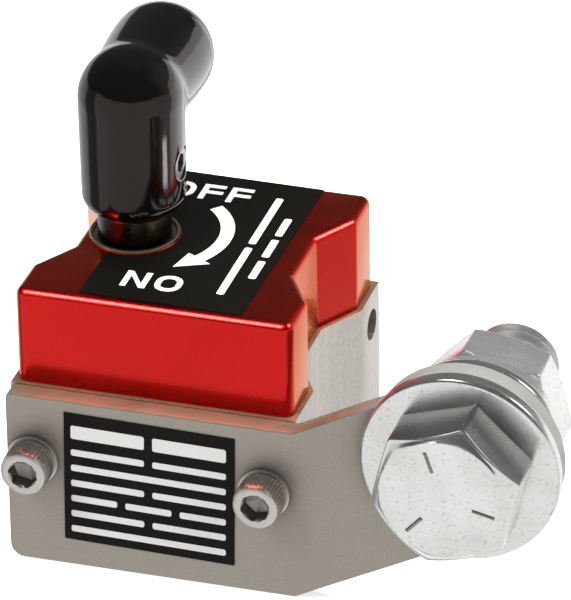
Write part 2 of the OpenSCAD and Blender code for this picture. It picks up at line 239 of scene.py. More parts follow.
def blasted_steel():
    """Bead-blasted plate: matt warm grey with a fine pebbled skin."""
    s = Shader("blasted_steel")
    grain = s.noise(3400, 3)
    cloud = s.noise(60, 4)
    base = s.mix(cloud, (0.32, 0.29, 0.255), (0.385, 0.35, 0.31))
    base = s.mix(s.ramp(grain, [(0.35, 0.0), (0.65, 0.30)]), base, (0.50, 0.46, 0.42))
    # Painted shade: the colour darkens in sheltered corners round the screws, washers and eye, standing in
    # for shade and dark reflections.
    base = s.mix(s.painted_shade(0.005, [(0.45, 0.75), (0.92, 0.0)]), base, (0.07, 0.06, 0.05))
    s.set(Base_Color=base, Metallic=0.75)
    s.set(Roughness=s.ramp(cloud, [(0.3, 0.40), (0.7, 0.48)]))
    s.bump(grain, 0.28)
    return s.material


# Along X the rusty rim ends and the painted highlight round the eye fades in.
RUST_END, RUST_FADE = 0.029, 0.006


def cut_edge():
    """Sheared rim of the contact plate: rusty along the housing, and light grey round the eye as a painted
    highlight.
    """
    s = Shader("cut_edge")
    streak = s.noise(420, 4)
    stain = s.noise(150, 3)
    base = s.mix(streak, (0.21, 0.155, 0.105), (0.31, 0.24, 0.17))
    base = s.mix(s.ramp(stain, [(0.5, 0.0), (0.7, 0.6)]), base, (0.13, 0.085, 0.045))
    split = s.node("ShaderNodeSeparateXYZ")
    s.link(s.coords.outputs["Object"], split.inputs[0])
    eye_highlight = s.node("ShaderNodeMapRange")
    eye_highlight.inputs["From Min"].default_value = RUST_END
    eye_highlight.inputs["From Max"].default_value = RUST_END + RUST_FADE
    s.link(split.outputs["X"], eye_highlight.inputs["Value"])
    # Painted highlight: the rim round the eye turns light grey.
    base = s.mix(eye_highlight.outputs["Result"], base, (0.40, 0.39, 0.375))
    s.set(Base_Color=base, Metallic=0.5)
    s.set(Roughness=s.ramp(streak, [(0.3, 0.42), (0.7, 0.60)]))
    s.bump(streak, 0.2)
    return s.material


def zinc(name, dull=0.0, metallic=0.97, shine=1.0):
    """Bright zinc plate: cloudy, with dark specks, small scratches and a fine grain."""
    s = Shader(name)
    cloud = s.noise(160, 5)
    speck = s.noise(1700, 4)
    scratch = s.noise(500, 3, (1, 0.2, 4))
    base = s.mix(s.ramp(cloud, [(0.32, 0.0), (0.68, 1.0)]), (0.76, 0.755, 0.735),
                 (0.90, 0.90, 0.885))
    base = s.mix(s.ramp(speck, [(0.56, 0.0), (0.68, 0.5)]), base, (0.50, 0.49, 0.46))
    base = s.mix(s.ramp(scratch, [(0.68, 0.0), (0.74, 0.35)]), base, (0.55, 0.54, 0.51))
    low, high = 0.15 + dull, 0.25 + dull
    # Shine below 1 darkens the base colour; the bolt head's upward flanks use this as painted shade.
    if shine < 1:
        base = s.mix(1 - shine, base, (0.0, 0.0, 0.0))
    s.set(Base_Color=base, Metallic=metallic)
    s.set(Roughness=s.ramp(cloud, [(0.3, low), (0.7, high)]))
    s.bump(s.noise(700, 4), 0.14).bump(s.noise(2600, 2), 0.10)
    return s.material


def plain_metal(name, tone, low, high, marks=(1, 1, 1)):
    s = Shader(name)
    streak = s.noise(700, 4, marks)
    darker = tuple(c * 0.82 for c in tone)
    s.set(Base_Color=s.mix(streak, darker, tone), Metallic=1.0)
    s.set(Roughness=s.ramp(streak, [(0.3, low), (0.7, high)]))
    s.bump(streak, 0.12)
    return s.material


def vinyl():
    """Dipped vinyl: very glossy black with slow thickness waves and a little dust."""
    s = Shader("vinyl")
    dust = s.ramp(s.noise(1300, 4), [(0.62, 0.0), (0.80, 0.2)])
    base = s.mix(dust, (0.0030, 0.0026, 0.0024), (0.020, 0.018, 0.016))
    s.set(Base_Color=base, Specular_IOR_Level=0.42, Specular_Tint=(1.0, 0.90, 0.84))
    s.set(Roughness=s.ramp(s.noise(110, 3), [(0.3, 0.07), (0.7, 0.12)]))
    s.bump(s.noise(130, 2), 0.30, 0.0002).bump(s.noise(1900, 3), 0.03)
    return s.material


def label_film():
    s = Shader("label_film")
    grain = s.noise(1800, 3)
    s.set(Base_Color=s.mix(grain, (0.0030, 0.0027, 0.0021), (0.0065, 0.0058, 0.0048)))
    s.set(Roughness=s.ramp(s.noise(200, 3), [(0.3, 0.42), (0.7, 0.52)]))
    s.set(Specular_IOR_Level=0.12)
    s.bump(grain, 0.08)
    return s.material


def label_ink():
    s = Shader("label_ink")
    grain = s.noise(1500, 3)
    s.set(Base_Color=s.mix(grain, (0.66, 0.655, 0.64), (0.74, 0.735, 0.72)), Roughness=0.5)
    s.bump(grain, 0.05)
    return s.material


def slip_film():
    s = Shader("slip_film")
    s.set(Base_Color=s.mix(s.noise(300, 3), (0.80, 0.80, 0.78), (0.90, 0.90, 0.88)), Roughness=0.55)
    s.bump(s.noise(900, 2), 0.05)
    return s.material


RED = red_anodised()
MILLED = milled_steel()
BLASTED = blasted_steel()
RIM = cut_edge()
ZINC = zinc("bright_zinc")
ZINC_DULL = zinc("satin_zinc", 0.07, 0.88)
# Painted shade: a darker copy of the zinc for the head's upward flanks, standing in for their dark
# reflections.
ZINC_SHADED_FLANK = zinc("zinc_flank_painted_shade", 0.06, 0.97, 0.50)
ZINC_THREAD = zinc("rolled_zinc", 0.28, 0.92, 0.8)
SCREW = plain_metal("plated_screw", (0.72, 0.69, 0.65), 0.36, 0.48)
# Painted shade: a darker copy of the screw metal for the recessed hex sockets.
SHADED_SOCKET = plain_metal("socket_painted_shade", (0.40, 0.37, 0.335), 0.30, 0.45)
BLACK = plain_metal("black_oxide", (0.05, 0.05, 0.052), 0.35, 0.5)
STEEL = plain_metal("turned_steel", (0.60, 0.60, 0.61), 0.22, 0.34, (1, 1, 0.1))
BRONZE = plain_metal("bronze", (0.52, 0.40, 0.24), 0.28, 0.42)
RING = plain_metal("bushing_ring", (0.56, 0.49, 0.35), 0.32, 0.46)
DARK_STEEL = plain_metal("shaft_steel", (0.055, 0.042, 0.030), 0.24, 0.38)
# Painted shade: the grade marks are a darker metal standing in for the shading on their slopes.
SHADED_MARK = plain_metal("grade_mark_painted_shade", (0.36, 0.35, 0.33), 0.40, 0.55)
NICKEL = plain_metal("nickel", (0.68, 0.66, 0.62), 0.16, 0.26)
ALUMINIUM = plain_metal("machined_aluminium", (0.74, 0.74, 0.75), 0.28, 0.42, (1, 0.1, 1))
VINYL = vinyl()
FILM = label_film()
INK = label_ink()
SLIP = slip_film()


# ---- mesh helpers ----

def mesh_object(name, verts, faces):
    """Links a cleaned mesh object made from points in millimetres."""
    mesh = bpy.data.meshes.new(name)
    mesh.from_pydata([Vector(v) * MM for v in verts], [], faces)
    mesh.validate()
    clean(mesh)
    piece = bpy.data.objects.new(name, mesh)
    bpy.context.scene.collection.objects.link(piece)
    return piece


def new_piece(name, verts, faces, materials, body, replaces=(), smooth=30):
    """Makes a mesh piece and puts it on a body, in place of the CAD nodes that it replaces."""
    piece = mesh_object(name, verts, faces)
    for material in materials:
        piece.data.materials.append(material)
    shade(piece, smooth)
    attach(piece, body)
    if replaces:
        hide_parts(*replaces)
    return piece


def clean(mesh):
    bm = bmesh.new()
    bm.from_mesh(mesh)
    bmesh.ops.remove_doubles(bm, verts=bm.verts, dist=2e-7)
    bmesh.ops.recalc_face_normals(bm, faces=bm.faces)
    bm.to_mesh(mesh)
    bm.free()


def shade(piece, angle):
    """Smooth shading with edges sharper than angle kept crisp."""
    mesh = piece.data
    bm = bmesh.new()
    bm.from_mesh(mesh)
    limit = math.radians(angle)
    for face in bm.faces:
        face.smooth = True
    for edge in bm.edges:
        edge.smooth = len(edge.link_faces) != 2 or edge.calc_face_angle(0) < limit
    bm.to_mesh(mesh)
    bm.free()


def apply_modifiers(piece):
    graph = bpy.context.evaluated_depsgraph_get()
    mesh = bpy.data.meshes.new_from_object(piece.evaluated_get(graph))
    piece.modifiers.clear()
    piece.data = mesh


def voxelise(piece, size):
    """Skins a piece anew with square faces of about the given size."""
    remesh = piece.modifiers.new("voxels", "REMESH")
    remesh.mode = "VOXEL"
    remesh.voxel_size = size * MM
    apply_modifiers(piece)


def circle_angles(sides):
    """Angles of equal steps round a circle."""
    return [2 * math.pi * k / sides for k in range(sides)]


def quads(n, count, closed=False):
    """Faces between neighbours among count rings of n points; closed joins the last ring to the first."""
    faces = []
    for i in range(count if closed else count - 1):
        a = (i + 1) % count
        for k in range(n):
            j = (k + 1) % n
            faces.append((i * n + k, i * n + j, a * n + j, a * n + k))
    return faces


def rings_mesh(rings):
    """Skins rings of equal length into a tube, with fans at the ends."""
    verts = [p for ring in rings for p in ring]
    n = len(rings[0])
    faces = quads(n, len(rings))
    for i in (0, len(rings) - 1):
        verts.append(tuple(sum((Vector(p) for p in rings[i]), Vector()) / n))
        centre = len(verts) - 1
        faces += [(i * n + k, i * n + (k + 1) % n, centre) for k in range(n)]
    return verts, faces


def loop_rings(rings):
    """Skins rings into a closed loop, the last ring joining the first."""
    return [p for ring in rings for p in ring], quads(len(rings[0]), len(rings), True)


def along_y(profile, cx, cz, sides):
    """Rings about a line along Y through (cx, cz) for a profile of (r, y) points."""
    angles = circle_angles(sides)
    return [[(cx + r * math.cos(a), y, cz + r * math.sin(a)) for a in angles] for r, y in profile]


def about_shaft(profile, sides):
    """Rings about the handle's upright axis for a profile of (r, z) points."""
    angles = circle_angles(sides)
    return [[(HANDLE_X + r * math.cos(a), r * math.sin(a), z) for a in angles] for r, z in profile]


def arc(cx, cy, r, start, end, steps):
    """Points on a circle from angle start to end in degrees."""
    points = []
    for i in range(steps + 1):
        a = math.radians(start + (end - start) * i / steps)
        points.append((cx + r * math.cos(a), cy + r * math.sin(a)))
    return points


def join_parts(parts):
    verts, faces = [], []
    for v, f in parts:
        base = len(verts)
        verts += list(v)
        faces += [tuple(i + base for i in face) for face in f]
    return verts, faces


# ---- outlines and skins ----

def offset_outline(corners, inset, steps=5):
    """Anticlockwise outline moved inwards by inset. A corner is (u, v, radius); radius 0 stays sharp."""
    points = [Vector(c[:2]) for c in corners]
    result = []
    for i, point in enumerate(points):
        before = (point - points[i - 1]).normalized()
        after = (points[(i + 1) % len(points)] - point).normalized()
        n1 = Vector((-before.y, before.x))
        n2 = Vector((-after.y, after.x))
        reach = (n1 + n2) / (1 + n1.dot(n2))
        turn = math.atan2(before.x * after.y - before.y * after.x, before.dot(after))
        side = 1 if turn >= 0 else -1
        moved = point + reach * inset
        radius = corners[i][2]
        if radius == 0:
            result.append(tuple(moved))
            continue
        radius = max(radius - side * inset, 0.02)
        centre = moved + reach * side * radius
        start = math.atan2(n1.y, n1.x)
        for k in range(steps + 1):
            angle = start + turn * k / steps
            result.append((centre.x - side * radius * math.cos(angle),
                           centre.y - side * radius * math.sin(angle)))
    return result


def slab(corners, low, high, round_low, round_high, place):
    """Solid between two levels with rounded rims; place(u, v, level) gives the point in space."""
    rings = []
    steps = 5
    for i in range(steps + 1):
        a = math.pi / 2 * i / steps
        rings.append((round_low * (1 - math.sin(a)), low + round_low * (1 - math.cos(a))))
    for i in range(steps + 1):
        a = math.pi / 2 * i / steps
        rings.append((round_high * (1 - math.cos(a)), high - round_high * (1 - math.sin(a))))
    skins = [[place(u, v, level) for u, v in offset_outline(corners, inset)] for inset, level in rings]
    n = len(skins[0])
    verts = [p for skin in skins for p in skin]
    faces = quads(n, len(skins))
    faces.append(tuple(reversed(range(n))))
    faces.append(tuple((len(skins) - 1) * n + k for k in range(n)))
    return verts, faces


def cut(piece, cutters):
    """Takes closed cutter meshes, given as (verts, faces) in millimetres, out of a piece."""
    for verts, faces in cutters:
        tool = mesh_object("cutter", verts, faces)
        modifier = piece.modifiers.new("cut", "BOOLEAN")
        modifier.operation = "DIFFERENCE"
        modifier.solver = "EXACT"
        modifier.object = tool
        apply_modifiers(piece)
        bpy.data.objects.remove(tool)


def cylinder(start, end, radius, sides=96):
    """Closed cylinder between two points."""
    start, end = Vector(start), Vector(end)
    axis = (end - start).normalized()
    across = axis.orthogonal().normalized()
    other = axis.cross(across)
    rings = []
    for centre in (start, end):
        rings.append([tuple(centre + (across * math.cos(a) + other * math.sin(a)) * radius)
                      for a in circle_angles(sides)])
    return rings_mesh(rings)


def block(low, high):
    """Closed box between two corners."""
    verts = [(x, y, z) for x in (low[0], high[0]) for y in (low[1], high[1]) for z in (low[2], high[2])]
    faces = [(0, 1, 3, 2), (4, 6, 7, 5), (0, 4, 5, 1), (2, 3, 7, 6), (0, 2, 6, 4), (1, 5, 7, 3)]
    return verts, faces


def hex_radius(angle, half_flat, turn, soften=0.35):
    """Distance from the axis to the side of a hexagon with softened corners."""
    sector = math.radians(60)
    off = (angle - math.radians(turn)) % sector - sector / 2
    sharp = half_flat / math.cos(off)
    limit = half_flat / math.cos(sector / 2) - soften * 0.4
    blend = 0.06 * soften
    gap = sharp - limit
    if gap < -blend:
        return sharp
    if gap > blend:
        return limit + (gap - blend) * 0.25
    return sharp - (gap + blend) ** 2 * 0.2 / blend


FACE_R_STEP, FACE_DROP = 0.1, 0.02


def hex_rings(front, back, half_flat, turn, flat_r, slope=33, edge=0.3, sides=240, both=False):
    """Rings of a hexagonal head from its front face round its side to the back, along +Y about the bolt.
    In the helpers o is the hexagon's radius at an angle and f runs from 0 to 1 over a stretch."""
    rise = math.tan(math.radians(slope))

    def ring(radius, level):
        points = []
        for a in circle_angles(sides):
            outer = hex_radius(a, half_flat, turn)
            r, y = radius(outer), level(outer)
            points.append((BOLT_X + r * math.cos(a), y, BOLT_Z + r * math.sin(a)))
        return points

    def chamfer(r):
        return max(0.0, r - flat_r) * rise

    def slant_r(o, f, step):
        return flat_r + step + (o - edge - flat_r - step) * f

    def corner_r(o, f):
        return o - edge * (1 - math.sin(f * math.pi / 2))

    def corner_drop(f):
        return edge * (1 - math.cos(f * math.pi / 2))

    rings = [ring(lambda o, f=f: flat_r * f, lambda o: front) for f in (0.25, 0.5, 0.75, 0.9, 0.98)]
    rings.append(ring(lambda o: flat_r + FACE_R_STEP, lambda o: front + FACE_DROP))
    for f in (0.35, 0.7, 1.0):
        rings.append(ring(lambda o, f=f: slant_r(o, f, FACE_R_STEP),
                          lambda o, f=f: front + FACE_DROP + chamfer(slant_r(o, f, FACE_R_STEP))))
    for f in (0.35, 0.7, 1.0):
        rings.append(ring(lambda o, f=f: corner_r(o, f),
                          lambda o, f=f: front + FACE_DROP + chamfer(o - edge) + corner_drop(f)))
    if both:
        for f in (1.0, 0.7, 0.35):
            rings.append(ring(lambda o, f=f: corner_r(o, f),
                              lambda o, f=f: back - FACE_DROP - chamfer(o - edge) - corner_drop(f)))
        for f in (1.0, 0.7, 0.35, 0.0):
            rings.append(ring(lambda o, f=f: slant_r(o, f, 0),
                              lambda o, f=f: back - chamfer(slant_r(o, f, 0))))
    else:
        for inset, rest in ((0, 0.25), (0.07, 0.07), (0.25, 0)):
            rings.append(ring(lambda o, i=inset: o - i, lambda o, d=rest: back - d))
    return rings


# ---- CAD nodes that keep their own shape ----

def soften(node, width, material, angle=32, segments=3):
    """Rounds the edges of a CAD node with modifiers and gives it its material."""
    piece = NODES[node]
    weld = piece.modifiers.new("weld", "WELD")
    weld.merge_threshold = 2e-6
    flat = piece.modifiers.new("flat", "DECIMATE")
    flat.decimate_type = "DISSOLVE"
    flat.angle_limit = math.radians(0.5)
    bevel = piece.modifiers.new("bevel", "BEVEL")
    bevel.limit_method = "ANGLE"
    bevel.angle_limit = math.radians(angle)
    bevel.width = width * MM
    bevel.segments = segments
    bevel.harden_normals = False
    bevel.use_clamp_overlap = True
    normals = piece.modifiers.new("normals", "WEIGHTED_NORMAL")
    normals.keep_sharp = True
    piece.data.shade_smooth()
    paint(node, material)


def paint(node, material):
    mesh = NODES[node].data
    mesh.materials.clear()
    mesh.materials.append(material)


PAINT = {
    "lower_magnet": NICKEL, "upper_magnet": NICKEL, "magnet_slip_disc": SLIP, "bearing_plate": ALUMINIUM,
    "hub_bushing": BRONZE, "spring_guide": STEEL, "lock_pin": STEEL,
    "spring_cap": STEEL, "drive_shaft": DARK_STEEL, "drive_pinion": STEEL, "thrust_washer": BRONZE,
    "handle_core": STEEL, "magnet_carrier": STEEL, "driven_gear": STEEL, "gear_clip": BLACK,
    "cover_screws": BLACK, "handle_set_screw": STEEL, "bottom_shield": STEEL,
    "plate_lock_washers": SCREW, "rating_label": FILM, "switch_label": FILM,
}
for name, material in PAINT.items():
    paint(name, material)
soften("pole_housing", 0.2, MILLED)
soften("stud_lock_washer", 0.35, ZINC_DULL)


# ---- cover ----

NOTCH_FLAT, NOTCH_MOUTH, NOTCH_DEPTH = 5.29, 11.99, 3.9
POCKET_HALF = 13.7
ROOF_T = 3.0
THRUST_ROOM_R = 5.6
COVER_SCREW_X, COVER_SCREW_Y, COVER_SCREW_R = 12.2, 16.4, 1.55
COVER_SCREW_DEPTH = 8
BUSHING_BORE_R, BUSHING_LIP = 5.24, 0.28


def cover():
    half = COVER_HIGH.x
    corner, fold = 1.5, 1.3
    right = [(half, -half, corner), (half, -NOTCH_MOUTH, fold), (half - NOTCH_DEPTH, -NOTCH_FLAT, fold),
             (half - NOTCH_DEPTH, NOTCH_FLAT, fold), (half, NOTCH_MOUTH, fold), (half, half, corner)]
    left = [(-x, -y, r) for x, y, r in right]
    bottom, round_low, round_top = COVER_LOW.z, 0.15, 1.2
    verts, faces = slab(right + left, bottom, COVER_TOP, round_low, round_top,
                        lambda u, v, level: (u, v, level))
    piece = new_piece("cover_shell", verts, faces, [RED], "clamp_body", ["gear_cover"])
    roof = COVER_TOP - ROOF_T
    bushing_room = BUSHING_HIGH.x - HANDLE_X + 0.02
    cutters = [block((-POCKET_HALF, -POCKET_HALF, bottom - 1), (POCKET_HALF, POCKET_HALF, roof)),
               cylinder((HANDLE_X, 0, bottom - 1), (HANDLE_X, 0, roof), THRUST_ROOM_R),
               cylinder((HANDLE_X, 0, roof - 1), (HANDLE_X, 0, COVER_TOP + 1), bushing_room)]
    for x in (-COVER_SCREW_X, COVER_SCREW_X):
        for y in (-COVER_SCREW_Y, COVER_SCREW_Y):
            cutters.append(cylinder((x, y, bottom - 1), (x, y, bottom + COVER_SCREW_DEPTH),
                                    COVER_SCREW_R, 32))
    cut(piece, cutters)
    shade(piece, 30)


cover()


def bushing_ring():
    """Bushing round the handle's shaft, with a thin raised lip."""
    outer, bore, lip = BUSHING_HIGH.x - HANDLE_X, BUSHING_BORE_R, BUSHING_LIP
    top = BUSHING_HIGH.z
    profile = [(bore, BUSHING_LOW.z), (outer, BUSHING_LOW.z)]
    profile += arc(outer - lip, top - lip, lip, 0, 180, 10)
    profile += [(outer - 2 * lip - 0.08, top - lip - 0.2), (bore, top - lip - 0.24)]
    verts, faces = loop_rings(about_shaft(profile, 128))
    new_piece("bushing_lip", verts, faces, [RING], "clamp_body", ["shaft_bushing"], 50)


bushing_ring()


# ---- return spring ----

WIRE_R = 0.25
COILS = 8


def coil_spring():
    """Round wire spring over the length of the CAD spring; the real spring shortens by the press stroke."""
    low, high = node_box("return_spring")
    coil_r = (high.x - low.x) / 2 - WIRE_R
    steps, sides = COILS * 40, 12
    rise = high.z - low.z - 2 * WIRE_R
    rings = []
    for i in range(steps + 1):
        a = 2 * math.pi * COILS * i / steps
        ring = []
        for b in circle_angles(sides):
            r = coil_r + WIRE_R * math.cos(b)
            ring.append((HANDLE_X + r * math.cos(a), r * math.sin(a),
                         low.z + WIRE_R + rise * i / steps + WIRE_R * math.sin(b)))
        rings.append(ring)
    verts, faces = rings_mesh(rings)
    piece = new_piece("coil_spring", verts, faces, [STEEL], "clamp_body",
                      ["return_spring"], 60)
    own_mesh(piece)


coil_spring()


# ---- contact plate ----

KINK_X = 21.2
ARM_ANGLE = math.radians(27.5)
LUG_BORE_R, SCREW_HOLE_R = 6.5, 2.2
PLATE_ROUND = 0.32


def contact_plate():
    left, right = PLATE_LOW.x, KINK_X
    top = COVER_LOW.z
    half_arm = top / 2 * math.cos(ARM_ANGLE)
    eye_r = PLATE_HIGH.x - BOLT_X
    open_angle = math.pi - math.asin(half_arm / eye_r)
    outline = [(left, top, 0.8), (left, 0, 2.0), (right, 0, 0.6)]
    steps = 60
    for i in range(steps + 1):
        a = ARM_ANGLE + open_angle * (2 * i / steps - 1)
        outline.append((BOLT_X + eye_r * math.cos(a), BOLT_Z + eye_r * math.sin(a), 0))
    outline.append((right, top, 0.6))
    verts, faces = slab(outline, PLATE_LOW.y, PLATE_HIGH.y, PLATE_ROUND, PLATE_ROUND,
                        lambda u, v, level: (u, level, v))
    piece = new_piece("lead_plate", verts, faces, [BLASTED], "clamp_body", ["contact_plate"])
    holes = [(BOLT_X, BOLT_Z, LUG_BORE_R)] + [(x, SCREW_Z, SCREW_HOLE_R) for x in SCREW_XS]
    cut(piece, [cylinder((x, PLATE_LOW.y - 1, z), (x, PLATE_HIGH.y + 1, z), r) for x, z, r in holes])
    piece.data.materials.append(RIM)
    for face in piece.data.polygons:
        face.material_index = 1 if abs(face.normal.y) < 0.8 else 0
    shade(piece, 30)


contact_plate()


# ---- plate screws ----

SHANK_R, SHANK_LENGTH = 2.05, 11.0
SOCKET_FLAT, SOCKET_DEPTH, SOCKET_RIM_R = 1.8, 2.3, 2.05
SOCKET_TURNS = (0.2, 0.75)
KNURLS = 42


def cap_screws():
    parts = []
    sides = KNURLS * 6
    front = SCREWS_LOW.y

    def ring(centre_x, radius, level):
        points = []
        for a in circle_angles(sides):
            r = radius(a)
            points.append((centre_x + r * math.cos(a), level, SCREW_Z + r * math.sin(a)))
        return points

    def knurled(depth, inset):
        return lambda a: SCREW_R - inset - depth * abs(((a * KNURLS / (2 * math.pi)) % 1) * 2 - 1)

    def socket(a):
        off = a % math.radians(60) - math.radians(30)
        return SOCKET_FLAT / math.cos(off)

    for turn, centre_x in zip(SOCKET_TURNS, SCREW_XS):
        stack = [
            (lambda a: SHANK_R, SCREW_BACK + SHANK_LENGTH),
            (lambda a: SHANK_R, SCREW_BACK),
            (knurled(0.0, 0.35), SCREW_BACK),
            (knurled(0.0, 0.12), SCREW_BACK - 0.25),
            (knurled(0.16, 0.0), SCREW_BACK - 0.55),
            (knurled(0.16, 0.0), front + 0.85),
            (knurled(0.0, 0.14), front + 0.5),
            (knurled(0.0, 0.26), front + 0.2),
            (knurled(0.0, 0.55), front + 0.03),
            (knurled(0.0, 0.75), front),
            (lambda a: 2.35, front),
            (lambda a, t=turn: max(socket(a + t) + 0.10, SOCKET_RIM_R), front + 0.06),
            (lambda a, t=turn: socket(a + t), front + 0.30),
            (lambda a, t=turn: socket(a + t), front + SOCKET_DEPTH),
            (lambda a: 0.4, front + 2.9),
        ]
        parts.append(rings_mesh([ring(centre_x, radius, level) for radius, level in stack]))
    verts, faces = join_parts(parts)
    piece = new_piece("socket_screws", verts, faces, [SCREW, SHADED_SOCKET], "clamp_body",
                      ["plate_cap_screws"], 35)
    # Faces inside the hex socket take the darker metal: painted shade in the recess.
    for face in piece.data.polygons:
        x, y, z = face.center / MM
        inside = min(math.hypot(x - middle, z - SCREW_Z) for middle in SCREW_XS) < SOCKET_FLAT * 1.16
        face.material_index = 1 if inside and front + 0.1 < y < SCREW_BACK else 0


cap_screws()


# ---- lead bolt, washers and nut ----

HALF_FLAT = 9.525
BOLT_R = 6.35
THREAD_PITCH = 25.4 / 13
THREAD_DEPTH = 1.0
HEAD_TURN = 16.4
NUT_TURN = 47.0
HEAD_FLAT_R = 8.75
GRADE_MARKS = (109, 228, 347)
MARK_IN, MARK_OUT, MARK_HALF = 4.2, 7.6, 0.34
MARK_SUNK, MARK_HIGH = 0.1, 0.22
SEAT_GAP = 0.02
THREAD_STEP = 0.13


def lead_bolt():
    head = hex_rings(BOLT_LOW.y, WASHER_LOW.y, HALF_FLAT, HEAD_TURN, HEAD_FLAT_R)
    sides = len(head[0])
    neck = along_y([(BOLT_R + 0.3, WASHER_LOW.y), (BOLT_R, WASHER_LOW.y + 0.3)], BOLT_X, BOLT_Z, sides)
    thread_start = PLATE_HIGH.y
    end = BOLT_HIGH.y
    count = int((end - thread_start) / THREAD_STEP)
    levels = [thread_start + THREAD_STEP * i for i in range(count)] + [end - 0.02]
    rings = []
    for y in levels:
        ring = []
        limit = BOLT_R - max(0.0, y - (end - 1.2)) * 0.9
        for a in circle_angles(sides):
            phase = ((y - thread_start) / THREAD_PITCH + a / (2 * math.pi)) % 1
            crest = min(1.0, abs(phase * 2 - 1) * 1.18)
            fade = min(1.0, (y - thread_start) / 1.5)
            r = min(limit, BOLT_R - THREAD_DEPTH * fade * (1 - crest))
            ring.append((BOLT_X + r * math.cos(a), y, BOLT_Z + r * math.sin(a)))
        rings.append(ring)
    parts = [rings_mesh(head + neck + rings)]
    middle = (MARK_IN + MARK_OUT) / 2
    for angle in GRADE_MARKS:
        a = math.radians(angle)
        along = Vector((math.cos(a), 0, math.sin(a)))
        across = Vector((-math.sin(a), 0, math.cos(a)))
        centre = Vector((BOLT_X, BOLT_LOW.y, BOLT_Z))
        low, top = [], []
        for u, v in ((MARK_IN, -MARK_HALF), (MARK_OUT, -MARK_HALF),
                     (MARK_OUT, MARK_HALF), (MARK_IN, MARK_HALF)):
            low.append(tuple(centre + along * u + across * v + Vector((0, MARK_SUNK, 0))))
            shrink = 0.86 * (u - middle) + middle
            top.append(tuple(centre + along * shrink + across * v * 0.3 + Vector((0, -MARK_HIGH, 0))))
        parts.append(rings_mesh([low, top]))
    verts, faces = join_parts(parts)
    piece = new_piece("lead_bolt", verts, faces, [ZINC, SHADED_MARK, ZINC_SHADED_FLANK, ZINC_THREAD], "clamp_body",
                      ["ground_bolt"], 40)
    for face in piece.data.polygons:
        y = face.center.y / MM
        # The raised grade marks take the darker metal: painted shade.
        if y < BOLT_LOW.y - 0.02:
            face.material_index = 1
        elif y > PLATE_HIGH.y:
            face.material_index = 3
        # Upward-facing flanks of the head take the darker zinc: painted shade standing in for dark
        # reflections.
        elif abs(face.normal.y) < 0.5 and face.normal.z > 0.2:
            face.material_index = 2


def nut():
    seat = NUT_LOW.y + SEAT_GAP
    outer = hex_rings(seat, NUT_HIGH.y, HALF_FLAT, NUT_TURN, HEAD_FLAT_R, both=True)[5:]
    sides = len(outer[0])
    inner = along_y([(BOLT_R + 0.7, NUT_HIGH.y), (BOLT_R + 0.05, NUT_HIGH.y - 0.65),
                     (BOLT_R + 0.05, seat + 0.65), (BOLT_R + 0.7, seat)], BOLT_X, BOLT_Z, sides)
    verts, faces = loop_rings(outer + inner)
    new_piece("hex_nut", verts, faces, [ZINC_DULL], "lead_nut", ["stud_nut"], 40)


def washer(name, node, body, edge=0.8, bore=LUG_BORE_R):
    low, high = node_box(node)
    radius = (high.x - low.x) / 2
    cx, cz = (low.x + high.x) / 2, (low.z + high.z) / 2
    profile = [(bore, low.y), (radius - edge, low.y)]
    profile += arc(radius - edge, low.y + edge, edge, -90, 0, 6)[1:]
    profile += arc(radius - edge, high.y - edge, edge, 0, 90, 6)
    profile += [(bore, high.y)]
    verts, faces = loop_rings(along_y(profile, cx, cz, 160))
    new_piece(name, verts, faces, [ZINC], body, [node], 50)


lead_bolt()
nut()
washer("head_washer", "front_washer", "clamp_body")
washer("lug_washer_inner", "inner_lug_washer", "clamp_body")
washer("lug_washer_outer", "outer_lug_washer", "stud_washers")


# ---- handle grip ----

HOLE_R = 2.3
COATING_T = 1.58
GRIP_RIM = 2.6
INNER_BEND = 3.2
ARM_THIN = 0.45


def line_distance(points, start, end):
    """Distance from a line between two points, and the direction away from it."""
    along = end - start
    share = np.clip((points - start) @ along / (along @ along), 0, 1)
    offset = points - start - share[:, None] * along
    length = np.linalg.norm(offset, axis=1)
    return length, offset / np.maximum(length, 1e-9)[:, None]


def grip_distance(points, radius, bottom, rim, hole):
    """Signed distance from the dipped handle: a tapered column with a round rim, an elbow and an arm."""
    elbow = np.array([HANDLE_X, 0, ELBOW_Z])
    arm_end = np.array([HANDLE_X, ARM_END_Y, ELBOW_Z])
    foot = np.array([HANDLE_X, 0, bottom - 20])
    height = points[:, 2]
    taper = radius * (1 - 0.028 * np.clip((ELBOW_Z - height) / (ELBOW_Z - bottom), 0, 1))
    column, column_out = line_distance(points, foot, elbow)
    column = column - taper
    across = np.maximum(column + rim, 0)
    down = np.maximum(bottom + rim - height, 0)
    rounded = np.hypot(across, down) - rim + np.minimum(np.maximum(column + rim, bottom + rim - height), 0)
    column = np.where(height < bottom + rim * 2, rounded, column)
    arm, arm_out = line_distance(points, elbow, arm_end)
    swell = np.clip((points[:, 1] - 2.0) / (ARM_END_Y - 3.0), 0, 1)
    arm = arm - radius + ARM_THIN * (1 - swell * swell * (3 - 2 * swell)) * min(1, rim)
    soft = INNER_BEND * np.clip(1 - np.sum(column_out * arm_out, axis=1), 0, 1) + 0.25
    mix = np.clip(0.5 + 0.5 * (arm - column) / soft, 0, 1)
    body = arm * (1 - mix) + column * mix - soft * mix * (1 - mix)
    if hole:
        side = np.hypot(points[:, 1], points[:, 2] - SET_Z) - hole
        side = np.where(points[:, 0] > HANDLE_X, side, 9.0)
        soft = 0.3
        mix = np.clip(0.5 - 0.5 * (body + side) / soft, 0, 1)
        body = body * (1 - mix) - side * mix + soft * mix * (1 - mix)
    return body


